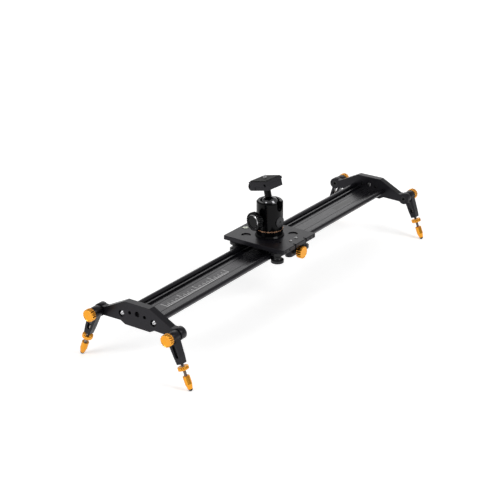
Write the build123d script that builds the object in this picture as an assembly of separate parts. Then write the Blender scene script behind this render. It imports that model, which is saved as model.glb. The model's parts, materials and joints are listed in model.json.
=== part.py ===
from build123d import *
import os

# A tabletop camera slider: rail on four splayed legs, roller carriage with a brake, ball head.
# Millimetres. Origin on the ground under the middle of the rail, +X along the rail, +Z up.
# Left is -X, right is +X, front is -Y (the side of the brake knob), back is +Y.

LEFT, RIGHT = -1, 1
FRONT, BACK = -1, 1

# Overall
LENGTH = 700.0
PLATE_THICKNESS = 12.0
RAIL_HALF = LENGTH / 2 - PLATE_THICKNESS
PLATE_OUTER = LENGTH / 2

# Rail section
CHANNEL_FLOOR_Z = 82.4
CHANNEL_HALF = 20.5
LEDGE_Z = 85.5
LEDGE_OUTER = 23.5
GROOVE_FLOOR_Z = 81.0
WEB_INNER = 26.6
WEB_OUTER = 29.5
BEAD_Y = 30.5
BEAD_Z = 85.8
BEAD_RADIUS = 4.3
RAIL_BOTTOM_Z = 79.0
KEEL_BOTTOM_Z = 74.5
KEEL_HALF = 9.5
SCORE_Y = 10.5
SCORE_WIDTH = 0.8
SCORE_DEPTH = 0.5
PORT_DEPTH = 16.0

# Tripod inserts under the rail
LARGE_THREAD_RADIUS = 4.0
SMALL_THREAD_RADIUS = 2.6
LARGE_INSERT_RADIUS = 6.0
SMALL_INSERT_RADIUS = 4.5
INSERT_LENGTH = 7.0
SMALL_INSERT_X = 30.0

# End plates
PLATE_TOP_HALF = 23.9
PLATE_TOP_Z = 107.7
ARM_END_Y = 63.7
ARM_END_TOP_Z = 87.5
ARM_UNDER_Z = 74.0
ARM_UNDER_END_Z = 73.0
ARM_UNDER_INNER = 32.4
PLATE_BOTTOM_Z = 69.3
PIVOT_Y = 74.5
PIVOT_Z = 79.5
BOSS_RADIUS = 10.0
LARGE_HOLE_Z = 92.2
SMALL_HOLE_Z = 91.0
SMALL_HOLE_Y = 14.3
LARGE_HOLE_CHAMFER = 0.8
SMALL_HOLE_CHAMFER = 0.4
SCREW_POCKET_RADIUS = 5.5
SCREW_POCKET_DEPTH = 3.0
END_SCREW_RADIUS = 2.0
END_SCREW_HEAD_RADIUS = 3.8
END_SCREW_HEAD_HEIGHT = 2.2
END_SCREW_GRIP = 14.0
HOLE_CLEARANCE = 0.1

# Screw heads and sockets: shares of the head's radius or height
BUTTON_CROWN_SHARE = 0.55
BUTTON_DOME_SHARE = 0.65
BUTTON_SOCKET_SHARE = 0.36
BUTTON_SOCKET_DEPTH_SHARE = 0.55
HEX_SIDES = 6
OVERCUT = 1.0

# Legs: distances run from the pivot down the leg
SPLAY_DEG = 22.0
PIVOT_BOLT_RADIUS = 3.0
BOLT_HEAD_RADIUS = 5.0
BOLT_HEAD_HEIGHT = 6.0
BOLT_SOCKET_RADIUS = 2.9
BOLT_SOCKET_DEPTH = 3.5
BOLT_END_X = 374.4
RUNNING_CLEARANCE = 0.06
FACE_GAP = 0.1
WASHER_THICKNESS = 0.8
WASHER_RADIUS = 8.6
HUB_RADIUS = 9.0
HUB_OUTER_X = 367.5
BLADE_CENTRE_X = 359.0
BLADE_THICKNESS = 11.0
BLADE_HALF_AT_HUB = 8.6
BLADE_HALF_AT_SLOT = 6.7
BLADE_HALF_AT_END = 5.3
BLADE_SLOT_LEVEL = 30.0
LEG_END = 41.5
SLOT_START = 10.5
SLOT_END = 32.0
SLOT_WIDTH = 5.8
LOCK_KNOB_RADIUS = 10.0
LOCK_KNOB_INNER_X = 367.9
LOCK_KNOB_OUTER_X = 376.7
LOCK_KNOB_BORE = 7.0
KNOB_CHAMFER = 0.8
JAM_NUT_START = 45.5
JAM_NUT_END = 51.5
JAM_NUT_RADIUS = 8.6
SPINDLE_RADIUS = 2.5
SPINDLE_TOP = 26.0
SPINDLE_BOTTOM = 66.0
FOOT_TOP = 60.6
FOOT_SHOULDER = 75.0
FOOT_RADIUS = 5.65
FOOT_NECK_RADIUS = 3.7
TIP_RADIUS = 3.5
TIP_PLUG_RADIUS = 2.0
TIP_PLUG_LENGTH = 8.0

# Carriage
CARRIAGE_X = 4.0
CARRIAGE_LENGTH = 98.6
CARRIAGE_WIDTH = 122.6
CARRIAGE_TOP_Z = 103.6
CARRIAGE_THICKNESS = 7.0
CARRIAGE_CORNER = 3.0
CARRIAGE_BEVEL = 0.8
POCKET_X = 25.0
POCKET_Y = 31.0
POCKET_RADIUS = 8.0
POCKET_DEPTH = 1.6
STUD_RADIUS = 4.76
NOTCH_X = 16.0
NOTCH_WIDTH = 3.4
NOTCH_DEPTH = 6.0

# Wheels
WHEEL_X = 38.5
WHEEL_Y = 41.7
WHEEL_RADIUS = 11.0
WHEEL_HALF_HEIGHT = 9.6
WHEEL_GROOVE_RADIUS = 4.5
WHEEL_BORE_RADIUS = 5.06
BEARING_RADIUS = 5.0
BEARING_WIDTH = 4.0
AXLE_RADIUS = 2.5
AXLE_HEAD_RADIUS = 4.6
AXLE_HEAD_HEIGHT = 2.6
AXLE_COLLAR_RADIUS = 4.4
AXLE_THREAD = 5.5

# Brake
BRAKE_X = 7.0
BRAKE_Z = 84.8
BRACKET_HALF_X = 15.0
BRACKET_INNER_Y = -36.6
BRACKET_OUTER_Y = -50.0
BRACKET_BOTTOM_Z = 76.0
BRAKE_STEM_RADIUS = 3.0
BRAKE_KNOB_RADIUS = 10.6
BRAKE_KNOB_INNER_Y = -57.8
BRAKE_KNOB_OUTER_Y = -67.4
BRAKE_COLLAR_RADIUS = 6.0
BRAKE_PAD_RADIUS = 3.6
BRAKE_PAD_SEAT = 4.5
BRAKE_PAD_NOSE = 1.1
BRAKE_GAP = 0.6
BRACKET_SCREW_X = 8.0
BRACKET_SCREW_Y = -46.0
BRACKET_SCREW_RADIUS = 1.5
BRACKET_SCREW_HEAD_RADIUS = 2.9
BRACKET_SCREW_REACH = 6.0
GRUB_X = (31.0, 43.0)
GRUB_RADIUS = 2.0
GRUB_SOCKET_RADIUS = 1.1
GRUB_LENGTH = 6.0
GRUB_RECESS = 0.6

# Bubble level
LEVEL_X = 5.0
LEVEL_Y = 50.5
LEVEL_RADIUS = 6.0
LEVEL_WALL = 1.0
LEVEL_DEPTH = 5.0
LEVEL_RISE = 0.5

# Ball head, upright along Z over the middle of the carriage
HEAD_X = 4.0
BASE_RADIUS = 25.0
BASE_NECK_RADIUS = 23.0
BASE_FLARE_Z = 107.0
BASE_EDGE = 1.0
STUD_COVER = 1.0
BASE_TOP_Z = 114.9
PAN_RING_RADIUS = 22.9
PAN_RING_TOP_Z = 116.3
PAN_PIVOT_RADIUS = 8.0
PAN_PIVOT_TOP_Z = 124.0
HOUSING_BOTTOM_Z = 116.5
HOUSING_TOP_Z = 165.4
HOUSING_RADIUS = 22.5
HOUSING_BEVEL = 2.0
BALL_Z = 157.0
BALL_RADIUS = 15.5
BALL_GAP = 0.4
RIM_CONE_RADIUS = 16.5
RIM_WAIST_RADIUS = 14.5
HEAD_TURN_DEG = -5.0
NOTCH_HEADING_DEG = -90.0
DROP_NOTCH_WIDTH = 14.0
CAVITY_RADIUS = 12.0
CAVITY_FLOOR_Z = 128.0
CUP_BOTTOM_Z = 142.0
CUP_TOP_Z = 149.25
SIDE_CAP_RADIUS = 10.0
SIDE_CAP_Z = 131.0
LOCK_Z = 136.0
LOCK_HEADING_DEG = 172.0
LOCK_STEM_RADIUS = 4.0
LOCK_STEM_INNER = 14.0
LOCK_COLLAR_RADIUS = 9.0
LOCK_COLLAR_START = 22.7
LOCK_DISC_START = 28.0
LOCK_DISC_END = 38.5
LOCK_DISC_RADIUS = 16.0
PAN_KNOB_Z = 122.5
PAN_KNOB_HEADING_DEG = 35.0
PAN_KNOB_RADIUS = 5.8
PAN_KNOB_START = 24.5
PAN_KNOB_END = 36.0
PAN_KNOB_STEM_RADIUS = 2.0
PAN_KNOB_STEM_INNER = 12.0

# Clamp: built upright above the ball, then pitched back with it
HEAD_PITCH_DEG = 13.5
NECK_RADIUS = 6.0
NECK_FOOT_RADIUS = 8.0
NECK_FLARE = 3.0
CLAMP_BOTTOM = 29.0
CLAMP_HALF = 19.0
CLAMP_BASE_THICKNESS = 6.0
CLAMP_HEIGHT = 11.0
DOVETAIL_BOTTOM_HALF = 14.5
DOVETAIL_TOP_HALF = 12.5
JAW_SPLIT = 8.0
JAW_GAP = 1.2
PLATE_CLEARANCE = 0.15
CAMERA_PLATE_HALF_X = 21.0
CAMERA_PLATE_HALF_Y = 19.0
CAMERA_PLATE_THICKNESS = 4.5
PAD_THICKNESS = 1.5
PAD_INSET = 2.0
CAMERA_THREAD_RADIUS = 3.175
CAMERA_NECK_RADIUS = 2.9
CAMERA_SCREW_RISE = 5.0
CAMERA_SCREW_HEAD_RADIUS = 7.0
CAMERA_SCREW_HEAD_HEIGHT = 2.4
CLAMP_KNOB_RADIUS = 8.0
CLAMP_KNOB_START = 22.0
CLAMP_KNOB_END = 34.0
CLAMP_SCREW_RADIUS = 2.0
CLAMP_SCREW_END_Y = -8.5


def rod(radius, start, end):
    """A round bar from one point to another."""
    direction = Vector(*end) - Vector(*start)
    return extrude(Plane(origin=start, z_dir=direction) * Circle(radius), direction.length)


def turned(outline, plane=Plane.XY):
    """A solid of revolution about the plane's normal, from (radius, height) points."""
    face = make_face(Polyline(*[(radius, 0, height) for radius, height in outline], close=True))
    return plane.location * revolve(face, Axis.Z)


def block(low, high):
    """A box given by its lowest and highest corners."""
    size = Vector(*high) - Vector(*low)
    centre = (Vector(*high) + Vector(*low)) / 2
    return Location(centre) * Box(size.X, size.Y, size.Z)


def heading(degrees):
    """The horizontal unit vector at an angle from +X."""
    return Vector(1, 0, 0).rotate(Axis.Z, degrees)


# Rail and end plates

def rail():
    half = [
        (0, CHANNEL_FLOOR_Z), (CHANNEL_HALF, CHANNEL_FLOOR_Z), (CHANNEL_HALF, LEDGE_Z),
        (LEDGE_OUTER, LEDGE_Z), (LEDGE_OUTER, GROOVE_FLOOR_Z), (WEB_INNER, GROOVE_FLOOR_Z),
        (WEB_INNER, BEAD_Z), (WEB_OUTER, BEAD_Z), (WEB_OUTER, RAIL_BOTTOM_Z),
        (KEEL_HALF, RAIL_BOTTOM_Z), (KEEL_HALF, KEEL_BOTTOM_Z), (0, KEEL_BOTTOM_Z),
    ]
    section = make_face(Polyline(*half, close=True))
    section += mirror(section, Plane.YZ)
    for side in (FRONT, BACK):
        section += Pos(side * BEAD_Y, BEAD_Z) * Circle(BEAD_RADIUS)
        score = Rectangle(SCORE_WIDTH, 2 * SCORE_DEPTH)
        section -= Pos(side * SCORE_Y, CHANNEL_FLOOR_Z) * score
    body = extrude(Plane.YZ.offset(-RAIL_HALF) * section, 2 * RAIL_HALF)
    for end in (LEFT, RIGHT):
        for side in (FRONT, BACK):
            mouth = (end * RAIL_HALF, side * BEAD_Y, BEAD_Z)
            floor = (end * (RAIL_HALF - PORT_DEPTH), side * BEAD_Y, BEAD_Z)
            body -= rod(END_SCREW_RADIUS, floor, mouth)
    insert_top = KEEL_BOTTOM_Z + INSERT_LENGTH
    body -= rod(LARGE_INSERT_RADIUS, (0, 0, KEEL_BOTTOM_Z), (0, 0, insert_top))
    small_foot = (SMALL_INSERT_X, 0, KEEL_BOTTOM_Z)
    body -= rod(SMALL_INSERT_RADIUS, small_foot, (SMALL_INSERT_X, 0, insert_top))
    return body


def tripod_inserts():
    top = KEEL_BOTTOM_Z + INSERT_LENGTH
    inserts = []
    for x, outer, inner in (
        (0, LARGE_INSERT_RADIUS, LARGE_THREAD_RADIUS),
        (SMALL_INSERT_X, SMALL_INSERT_RADIUS, SMALL_THREAD_RADIUS),
    ):
        foot = (x, 0, KEEL_BOTTOM_Z)
        inserts.append(rod(outer, foot, (x, 0, top)) - rod(inner, foot, (x, 0, top)))
    return Compound(inserts)


def end_plate(end):
    half = [
        (0, PLATE_TOP_Z), (PLATE_TOP_HALF, PLATE_TOP_Z), (ARM_END_Y, ARM_END_TOP_Z),
        (PIVOT_Y, ARM_END_TOP_Z), (PIVOT_Y, ARM_UNDER_END_Z), (ARM_UNDER_INNER, ARM_UNDER_Z),
        (PLATE_TOP_HALF, PLATE_BOTTOM_Z), (0, PLATE_BOTTOM_Z),
    ]
    outline = make_face(Polyline(*half, close=True))
    outline += mirror(outline, Plane.YZ)
    for side in (FRONT, BACK):
        outline += Pos(side * PIVOT_Y, PIVOT_Z) * Circle(BOSS_RADIUS)
    inner_x = min(end * RAIL_HALF, end * PLATE_OUTER)
    plate = extrude(Plane.YZ.offset(inner_x) * outline, PLATE_THICKNESS)
    inner = end * RAIL_HALF
    outer = end * PLATE_OUTER
    threads = [(0, LARGE_HOLE_Z, LARGE_THREAD_RADIUS, LARGE_HOLE_CHAMFER)]
    for side in (FRONT, BACK):
        threads.append((side * SMALL_HOLE_Y, SMALL_HOLE_Z, SMALL_THREAD_RADIUS, SMALL_HOLE_CHAMFER))
    outward = Vector(end, 0, 0)
    for y, z, radius, chamfer_size in threads:
        plate -= rod(radius, (inner, y, z), (outer, y, z))
        mouth = [(0, -chamfer_size), (radius, -chamfer_size), (radius + chamfer_size, 0), (0, 0)]
        plate -= turned(mouth, Plane(origin=(outer, y, z), z_dir=outward))
    for side in (FRONT, BACK):
        y = side * BEAD_Y
        floor = outer - end * SCREW_POCKET_DEPTH
        plate -= rod(END_SCREW_RADIUS + HOLE_CLEARANCE, (inner, y, BEAD_Z), (outer, y, BEAD_Z))
        plate -= rod(SCREW_POCKET_RADIUS, (floor, y, BEAD_Z), (outer, y, BEAD_Z))
        pivot = (inner, side * PIVOT_Y, PIVOT_Z)
        plate -= rod(PIVOT_BOLT_RADIUS + HOLE_CLEARANCE, pivot, (outer, side * PIVOT_Y, PIVOT_Z))
        head_floor = (inner + end * BOLT_HEAD_HEIGHT, side * PIVOT_Y, PIVOT_Z)
        plate -= rod(BOLT_HEAD_RADIUS + HOLE_CLEARANCE, pivot, head_floor)
    return plate


def button_screw(head_face, direction, head_radius, head_height, shank_radius, grip):
    """A button-head socket screw: direction points from the shank to the head."""
    face = Plane(origin=head_face, z_dir=direction)
    crown = head_radius * BUTTON_CROWN_SHARE
    shoulder = -head_height * BUTTON_DOME_SHARE
    profile = [(0, 0), (crown, 0), (head_radius, shoulder), (head_radius, -head_height),
               (shank_radius, -head_height), (shank_radius, -head_height - grip),
               (0, -head_height - grip)]
    screw = turned(profile, face)
    socket = RegularPolygon(head_radius * BUTTON_SOCKET_SHARE, HEX_SIDES)
    return screw - extrude(face * socket, -head_height * BUTTON_SOCKET_DEPTH_SHARE)


def end_plate_screws():
    screws = []
    for end in (LEFT, RIGHT):
        for side in (FRONT, BACK):
            face_x = end * (PLATE_OUTER - SCREW_POCKET_DEPTH + END_SCREW_HEAD_HEIGHT)
            screws.append(button_screw(
                (face_x, side * BEAD_Y, BEAD_Z), (end, 0, 0),
                END_SCREW_HEAD_RADIUS, END_SCREW_HEAD_HEIGHT, END_SCREW_RADIUS, END_SCREW_GRIP,
            ))
    return Compound(screws)


def pivot_bolts():
    bolts = []
    for end in (LEFT, RIGHT):
        for side in (FRONT, BACK):
            y = side * PIVOT_Y
            inner = (end * RAIL_HALF, y, PIVOT_Z)
            head_end = (end * (RAIL_HALF + BOLT_HEAD_HEIGHT), y, PIVOT_Z)
            bolt = rod(BOLT_HEAD_RADIUS, inner, head_end)
            bolt += rod(PIVOT_BOLT_RADIUS, head_end, (end * BOLT_END_X, y, PIVOT_Z))
            socket = Plane(origin=inner, z_dir=(end, 0, 0))
            socket *= RegularPolygon(BOLT_SOCKET_RADIUS, HEX_SIDES)
            bolts.append(bolt - extrude(socket, BOLT_SOCKET_DEPTH))
    return Compound(bolts)


def leg_washers():
    washers = []
    for end in (LEFT, RIGHT):
        for side in (FRONT, BACK):
            inner = (end * PLATE_OUTER, side * PIVOT_Y, PIVOT_Z)
            outer = (end * (PLATE_OUTER + WASHER_THICKNESS), side * PIVOT_Y, PIVOT_Z)
            hole = rod(PIVOT_BOLT_RADIUS + HOLE_CLEARANCE, inner, outer)
            washers.append(rod(WASHER_RADIUS, inner, outer) - hole)
    return Compound(washers)


# Legs, drawn straight down from the pivot and then splayed

def splayed(shape, side):
    """Turn a leg piece outwards about its pivot and put it in its place."""
    return Pos(0, side * PIVOT_Y, PIVOT_Z) * Rot(side * SPLAY_DEG, 0, 0) * shape


def leg_arm(end, side):
    outline = make_face(Polyline(
        (-BLADE_HALF_AT_HUB, 0), (-BLADE_HALF_AT_SLOT, -BLADE_SLOT_LEVEL),
        (-BLADE_HALF_AT_END, -LEG_END), (BLADE_HALF_AT_END, -LEG_END),
        (BLADE_HALF_AT_SLOT, -BLADE_SLOT_LEVEL), (BLADE_HALF_AT_HUB, 0), close=True,
    ))
    slot_length = SLOT_END - SLOT_START
    slot = SlotOverall(slot_length, SLOT_WIDTH, rotation=90)
    outline -= Pos(0, -(SLOT_START + SLOT_END) / 2) * slot
    blade_inner_x = end * BLADE_CENTRE_X - BLADE_THICKNESS / 2
    arm = extrude(Plane.YZ.offset(blade_inner_x) * outline, BLADE_THICKNESS)
    hub_inner_x = PLATE_OUTER + WASHER_THICKNESS + FACE_GAP
    hub_start = (end * hub_inner_x, 0, 0)
    hub_end = (end * HUB_OUTER_X, 0, 0)
    arm += rod(HUB_RADIUS, hub_start, hub_end)
    arm -= rod(PIVOT_BOLT_RADIUS + RUNNING_CLEARANCE, hub_start, hub_end)
    blade_x = end * BLADE_CENTRE_X
    thread_radius = SPINDLE_RADIUS + RUNNING_CLEARANCE
    arm -= rod(thread_radius, (blade_x, 0, -LEG_END), (blade_x, 0, -SLOT_END + SLOT_WIDTH / 2))
    return splayed(arm, side)


def leg_lock_knob(end, side):
    length = LOCK_KNOB_OUTER_X - LOCK_KNOB_INNER_X
    rim = LOCK_KNOB_RADIUS - KNOB_CHAMFER
    profile = [(0, 0), (rim, 0), (LOCK_KNOB_RADIUS, KNOB_CHAMFER),
               (LOCK_KNOB_RADIUS, length - KNOB_CHAMFER), (rim, length), (0, length)]
    inner = Plane(origin=(end * LOCK_KNOB_INNER_X, 0, 0), z_dir=(end, 0, 0))
    knob = turned(profile, inner)
    bore = extrude(inner * Circle(PIVOT_BOLT_RADIUS + RUNNING_CLEARANCE), LOCK_KNOB_BORE)
    return splayed(knob - bore, side)


def down_leg(end, level):
    """The plane across a leg at a level below its pivot, facing down the leg."""
    return Plane(origin=(end * BLADE_CENTRE_X, 0, -level), z_dir=(0, 0, -1))


def jam_nut(end, side):
    length = JAM_NUT_END - JAM_NUT_START
    bore = SPINDLE_RADIUS + RUNNING_CLEARANCE
    rim = JAM_NUT_RADIUS - KNOB_CHAMFER
    profile = [(bore, 0), (rim, 0), (JAM_NUT_RADIUS, KNOB_CHAMFER),
               (JAM_NUT_RADIUS, length - KNOB_CHAMFER), (rim, length), (bore, length)]
    return splayed(turned(profile, down_leg(end, JAM_NUT_START)), side)


def tip_level():
    """Where along a splayed leg the centre of a tip that stands on the ground is."""
    return (PIVOT_Z - TIP_RADIUS) / Vector(0, 0, 1).rotate(Axis.X, SPLAY_DEG).Z


def foot_spindle(end, side):
    top = (end * BLADE_CENTRE_X, 0, -SPINDLE_TOP)
    return splayed(rod(SPINDLE_RADIUS, top, (end * BLADE_CENTRE_X, 0, -SPINDLE_BOTTOM)), side)


def foot(end, side):
    shoulder = FOOT_SHOULDER - FOOT_TOP
    bottom = tip_level() - FOOT_TOP
    socket = SPINDLE_BOTTOM - FOOT_TOP
    plug_end = bottom - TIP_PLUG_LENGTH
    rim = FOOT_RADIUS - KNOB_CHAMFER
    profile = [(SPINDLE_RADIUS, 0), (rim, 0), (FOOT_RADIUS, KNOB_CHAMFER),
               (FOOT_RADIUS, shoulder), (FOOT_NECK_RADIUS, bottom), (TIP_PLUG_RADIUS, bottom),
               (TIP_PLUG_RADIUS, plug_end), (0, plug_end), (0, socket), (SPINDLE_RADIUS, socket)]
    return splayed(turned(profile, down_leg(end, FOOT_TOP)), side)


def foot_tip(end, side):
    """A rubber dome with a plug that holds it in the foot."""
    x = end * BLADE_CENTRE_X
    level = tip_level()
    dome = Pos(x, 0, -level) * Sphere(TIP_RADIUS)
    above = block((x - FOOT_RADIUS, -FOOT_RADIUS, -level), (x + FOOT_RADIUS, FOOT_RADIUS, -FOOT_TOP))
    plug = rod(TIP_PLUG_RADIUS, (x, 0, -level), (x, 0, TIP_PLUG_LENGTH - level))
    return splayed(dome - above + plug, side)


# Carriage

def carriage_plate():
    low_z = CARRIAGE_TOP_Z - CARRIAGE_THICKNESS
    outline = RectangleRounded(CARRIAGE_LENGTH, CARRIAGE_WIDTH, CARRIAGE_CORNER)
    plate = extrude(Plane(origin=(CARRIAGE_X, 0, low_z)) * outline, CARRIAGE_THICKNESS)
    top_edges = plate.faces().sort_by(Axis.Z)[-1].edges()
    plate = chamfer(top_edges, CARRIAGE_BEVEL)
    for x_sign in (LEFT, RIGHT):
        for y_sign in (FRONT, BACK):
            x = CARRIAGE_X + x_sign * POCKET_X
            y = y_sign * POCKET_Y
            floor = (x, y, CARRIAGE_TOP_Z - POCKET_DEPTH)
            plate -= rod(POCKET_RADIUS, floor, (x, y, CARRIAGE_TOP_Z))
            axle_x = CARRIAGE_X + x_sign * WHEEL_X
            axle_y = y_sign * WHEEL_Y
            plate -= rod(AXLE_RADIUS, (axle_x, axle_y, low_z), (axle_x, axle_y, low_z + AXLE_THREAD))
    plate -= rod(STUD_RADIUS, (HEAD_X, 0, low_z), (HEAD_X, 0, CARRIAGE_TOP_Z))
    level = (LEVEL_X, LEVEL_Y, CARRIAGE_TOP_Z)
    plate -= rod(LEVEL_RADIUS, (LEVEL_X, LEVEL_Y, CARRIAGE_TOP_Z - LEVEL_DEPTH), level)
    front = -CARRIAGE_WIDTH / 2
    for sign in (LEFT, RIGHT):
        notch_x = BRAKE_X + sign * NOTCH_X
        plate -= block(
            (notch_x - NOTCH_WIDTH / 2, front, low_z),
            (notch_x + NOTCH_WIDTH / 2, front + NOTCH_DEPTH, CARRIAGE_TOP_Z),
        )
        screw_x = BRAKE_X + sign * BRACKET_SCREW_X
        screw_top = (screw_x, BRACKET_SCREW_Y, CARRIAGE_TOP_Z)
        screw_foot = (screw_x, BRACKET_SCREW_Y, low_z)
        plate -= rod(BRACKET_SCREW_RADIUS + HOLE_CLEARANCE, screw_foot, screw_top)
        for grub_x in GRUB_X:
            x = CARRIAGE_X + sign * grub_x
            z = CARRIAGE_TOP_Z - CARRIAGE_THICKNESS / 2
            plate -= rod(GRUB_RADIUS, (x, front, z), (x, front + GRUB_RECESS + GRUB_LENGTH, z))
    return plate


def preload_screws():
    front = -CARRIAGE_WIDTH / 2 + GRUB_RECESS
    z = CARRIAGE_TOP_Z - CARRIAGE_THICKNESS / 2
    screws = []
    for sign in (LEFT, RIGHT):
        for grub_x in GRUB_X:
            x = CARRIAGE_X + sign * grub_x
            face = Plane(origin=(x, front, z), z_dir=(0, 1, 0))
            socket = extrude(face * RegularPolygon(GRUB_SOCKET_RADIUS, HEX_SIDES), GRUB_LENGTH / 2)
            screws.append(rod(GRUB_RADIUS, (x, front, z), (x, front + GRUB_LENGTH, z)) - socket)
    return Compound(screws)


def wheel_places():
    for x_sign in (LEFT, RIGHT):
        for y_sign in (FRONT, BACK):
            yield CARRIAGE_X + x_sign * WHEEL_X, y_sign * WHEEL_Y


def wheel(x_sign, y_sign):
    bead_distance = WHEEL_Y - BEAD_Y
    profile = Rectangle(WHEEL_RADIUS - WHEEL_BORE_RADIUS, 2 * WHEEL_HALF_HEIGHT, align=Align.MIN)
    profile = Pos(WHEEL_BORE_RADIUS, -WHEEL_HALF_HEIGHT) * profile
    profile -= Pos(bead_distance, 0) * Circle(WHEEL_GROOVE_RADIUS)
    ring = revolve(Plane.XZ * profile, Axis.Z)
    return Pos(CARRIAGE_X + x_sign * WHEEL_X, y_sign * WHEEL_Y, BEAD_Z) * ring


def wheel_bearings():
    rings = []
    for x, y in wheel_places():
        for low_z in (BEAD_Z - WHEEL_HALF_HEIGHT, BEAD_Z + WHEEL_HALF_HEIGHT - BEARING_WIDTH):
            ring = rod(BEARING_RADIUS, (x, y, low_z), (x, y, low_z + BEARING_WIDTH))
            rings.append(ring - rod(AXLE_RADIUS, (x, y, low_z), (x, y, low_z + BEARING_WIDTH)))
    return Compound(rings)


def wheel_axles():
    """Shoulder bolts from below: head, shank through the bearings, collar, thread."""
    wheel_bottom = BEAD_Z - WHEEL_HALF_HEIGHT
    wheel_top = BEAD_Z + WHEEL_HALF_HEIGHT
    plate_bottom = CARRIAGE_TOP_Z - CARRIAGE_THICKNESS
    profile = [
        (0, wheel_bottom - AXLE_HEAD_HEIGHT), (AXLE_HEAD_RADIUS, wheel_bottom - AXLE_HEAD_HEIGHT),
        (AXLE_HEAD_RADIUS, wheel_bottom), (AXLE_RADIUS, wheel_bottom), (AXLE_RADIUS, wheel_top),
        (AXLE_COLLAR_RADIUS, wheel_top), (AXLE_COLLAR_RADIUS, plate_bottom),
        (AXLE_RADIUS, plate_bottom), (AXLE_RADIUS, plate_bottom + AXLE_THREAD),
        (0, plate_bottom + AXLE_THREAD),
    ]
    return Compound([Pos(x, y, 0) * turned(profile) for x, y in wheel_places()])


# Brake

def brake_bracket():
    """A block with round ends that hangs under the plate and carries the brake screw."""
    top_z = CARRIAGE_TOP_Z - CARRIAGE_THICKNESS
    depth = BRACKET_INNER_Y - BRACKET_OUTER_Y
    outline = SlotOverall(2 * BRACKET_HALF_X, depth)
    foot = Plane(origin=(BRAKE_X, BRACKET_OUTER_Y + depth / 2, BRACKET_BOTTOM_Z))
    bracket = extrude(foot * outline, top_z - BRACKET_BOTTOM_Z)
    inner = (BRAKE_X, BRACKET_INNER_Y, BRAKE_Z)
    bracket -= rod(BRAKE_STEM_RADIUS + RUNNING_CLEARANCE, (BRAKE_X, BRACKET_OUTER_Y, BRAKE_Z), inner)
    pad_seat = (BRAKE_X, BRACKET_INNER_Y - BRAKE_PAD_SEAT, BRAKE_Z)
    bracket -= rod(BRAKE_PAD_RADIUS + RUNNING_CLEARANCE, pad_seat, inner)
    for sign in (LEFT, RIGHT):
        screw_x = BRAKE_X + sign * BRACKET_SCREW_X
        screw_foot = (screw_x, BRACKET_SCREW_Y, top_z - BRACKET_SCREW_REACH)
        bracket -= rod(BRACKET_SCREW_RADIUS, screw_foot, (screw_x, BRACKET_SCREW_Y, top_z))
    return bracket


def bracket_screws():
    grip = CARRIAGE_THICKNESS + BRACKET_SCREW_REACH
    head_height = BRACKET_SCREW_RADIUS
    screws = []
    for sign in (LEFT, RIGHT):
        face = (BRAKE_X + sign * BRACKET_SCREW_X, BRACKET_SCREW_Y, CARRIAGE_TOP_Z + head_height)
        screws.append(button_screw(
            face, (0, 0, 1), BRACKET_SCREW_HEAD_RADIUS, head_height, BRACKET_SCREW_RADIUS, grip,
        ))
    return Compound(screws)


def brake_knob():
    length = BRAKE_KNOB_INNER_Y - BRAKE_KNOB_OUTER_Y
    rim = BRAKE_KNOB_RADIUS - KNOB_CHAMFER
    profile = [(0, 0), (rim, 0), (BRAKE_KNOB_RADIUS, KNOB_CHAMFER),
               (BRAKE_KNOB_RADIUS, length - KNOB_CHAMFER), (rim, length), (0, length)]
    knob = turned(profile, Plane(origin=(BRAKE_X, BRAKE_KNOB_INNER_Y, BRAKE_Z), z_dir=(0, -1, 0)))
    collar_y = BRACKET_OUTER_Y - FACE_GAP
    collar_end = (BRAKE_X, BRAKE_KNOB_INNER_Y, BRAKE_Z)
    knob += rod(BRAKE_COLLAR_RADIUS, (BRAKE_X, collar_y, BRAKE_Z), collar_end)
    stem_end = BRACKET_INNER_Y - BRAKE_PAD_SEAT
    return knob + rod(BRAKE_STEM_RADIUS, (BRAKE_X, stem_end, BRAKE_Z), collar_end)


def brake_pad():
    """A nylon plug with a hollowed nose that fits the bead."""
    bead_side = -BEAD_Y - BEAD_RADIUS
    nose_y = bead_side - BRAKE_GAP
    start = (BRAKE_X, BRACKET_INNER_Y - BRAKE_PAD_SEAT + FACE_GAP, BRAKE_Z)
    pad = rod(BRAKE_PAD_RADIUS, start, (BRAKE_X, nose_y + BRAKE_PAD_NOSE, BRAKE_Z))
    reach = BRAKE_PAD_RADIUS + OVERCUT
    bead_line_start = (BRAKE_X - reach, -BEAD_Y, BEAD_Z)
    return pad - rod(BEAD_RADIUS + BRAKE_GAP, bead_line_start, (BRAKE_X + reach, -BEAD_Y, BEAD_Z))


# Bubble level

def level_body():
    foot_z = CARRIAGE_TOP_Z - LEVEL_DEPTH
    top_z = CARRIAGE_TOP_Z + LEVEL_RISE
    cup = rod(LEVEL_RADIUS, (LEVEL_X, LEVEL_Y, foot_z), (LEVEL_X, LEVEL_Y, top_z))
    inner = LEVEL_RADIUS - LEVEL_WALL
    hollow = rod(inner, (LEVEL_X, LEVEL_Y, foot_z + LEVEL_WALL), (LEVEL_X, LEVEL_Y, top_z))
    return cup - hollow


def level_lens():
    foot = (LEVEL_X, LEVEL_Y, CARRIAGE_TOP_Z - LEVEL_DEPTH + LEVEL_WALL)
    top = (LEVEL_X, LEVEL_Y, CARRIAGE_TOP_Z + LEVEL_RISE)
    return rod(LEVEL_RADIUS - LEVEL_WALL, foot, top)


# Ball head: what pans is drawn about the Z axis and then turned and put in its place

def in_head(shape):
    return Pos(HEAD_X, 0, 0) * Rot(0, 0, HEAD_TURN_DEG) * shape


def head_stud():
    low = (HEAD_X, 0, CARRIAGE_TOP_Z - CARRIAGE_THICKNESS)
    return rod(STUD_RADIUS, low, (HEAD_X, 0, BASE_TOP_Z - STUD_COVER))


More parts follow.
